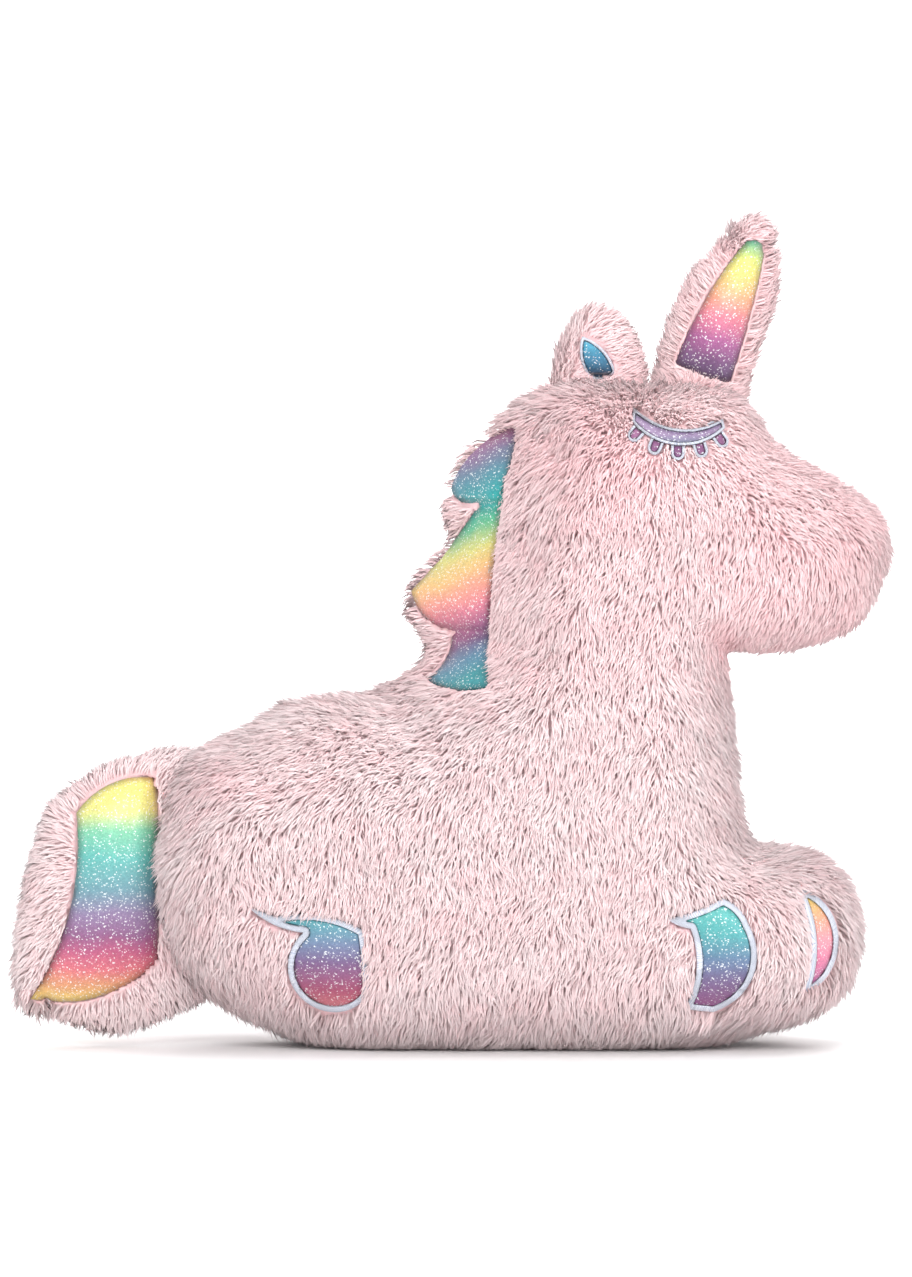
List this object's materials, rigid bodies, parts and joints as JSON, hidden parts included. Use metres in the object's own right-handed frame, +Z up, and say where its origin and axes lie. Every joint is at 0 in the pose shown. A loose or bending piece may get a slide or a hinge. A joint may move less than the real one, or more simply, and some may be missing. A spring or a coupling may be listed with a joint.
{
  "type": "plush unicorn",
  "caption": "Soft stuffed toy unicorn lying down, in long pink fur fabric with glitter satin inserts; tail, horn and ear flex on their seams.",
  "frame": {"origin": "middle of the toy's bounding box, at the level of the belly that it lies on", "axes": "+X from the tail to the nose, +Y to the toy's left side, +Z up"},
  "size_m": [0.4544, 0.16, 0.4269],
  "materials": {
    "pink_fur": "matte",
    "rainbow_glitter_satin": "satin",
    "lilac_glitter_satin": "satin",
    "satin_stitch": "satin",
    "polyester_filling": "matte",
    "closing_thread": "matte"
  },
  "bodies": {
    "torso": {"body_stuffing": "polyester_filling", "closing_stitches": "closing_thread", "body_fur_right": "pink_fur", "body_fur_left": "pink_fur", "mane_insert_right": "rainbow_glitter_satin", "mane_insert_left": "rainbow_glitter_satin", "hind_hoof_patch_right": "rainbow_glitter_satin", "hind_hoof_patch_left": "rainbow_glitter_satin", "hind_hoof_edging_right": "satin_stitch", "hind_hoof_edging_left": "satin_stitch", "fore_hoof_patch_right": "rainbow_glitter_satin", "fore_hoof_patch_left": "rainbow_glitter_satin", "fore_hoof_edging_right": "satin_stitch", "fore_hoof_edging_left": "satin_stitch", "lead_hoof_patch_right": "rainbow_glitter_satin", "lead_hoof_patch_left": "rainbow_glitter_satin", "lead_hoof_edging_right": "satin_stitch", "lead_hoof_edging_left": "satin_stitch", "eyelid_patch_right": "lilac_glitter_satin", "eyelid_patch_left": "lilac_glitter_satin", "eyelid_edging_right": "satin_stitch", "eyelid_edging_left": "satin_stitch", "lash_patches_right": "lilac_glitter_satin", "lash_patches_left": "lilac_glitter_satin", "lash_edging_right": "satin_stitch", "lash_edging_left": "satin_stitch"},
    "tail": {"tail_stuffing": "polyester_filling", "tail_fur_right": "pink_fur", "tail_fur_left": "pink_fur", "tail_insert_right": "rainbow_glitter_satin", "tail_insert_left": "rainbow_glitter_satin"},
    "horn": {"horn_stuffing": "polyester_filling", "horn_fur_right": "pink_fur", "horn_fur_left": "pink_fur", "horn_insert_right": "rainbow_glitter_satin", "horn_insert_left": "rainbow_glitter_satin"},
    "ear": {"ear_stuffing": "polyester_filling", "ear_fur_right": "pink_fur", "ear_fur_left": "pink_fur", "inner_ear_patch_right": "rainbow_glitter_satin", "inner_ear_patch_left": "rainbow_glitter_satin", "inner_ear_edging_right": "satin_stitch", "inner_ear_edging_left": "satin_stitch"}
  },
  "joints": [
    {"name": "tail_flex", "type": "hinge", "parent": "torso", "child": "tail", "pos_m": [-0.16, 0, 0.08], "axis": [0, 0, 1], "range_deg": [-30, 30], "stiffness_Nm_per_rad": 0.08},
    {"name": "horn_flex", "type": "hinge", "parent": "torso", "child": "horn", "pos_m": [0.128, 0, 0.346], "axis": [0.9673, 0, -0.2538], "range_deg": [-30, 30], "stiffness_Nm_per_rad": 0.06},
    {"name": "ear_flex", "type": "hinge", "parent": "torso", "child": "ear", "pos_m": [0.071, 0, 0.346], "axis": [1, 0, 0], "range_deg": [-25, 25], "stiffness_Nm_per_rad": 0.03}
  ]
}
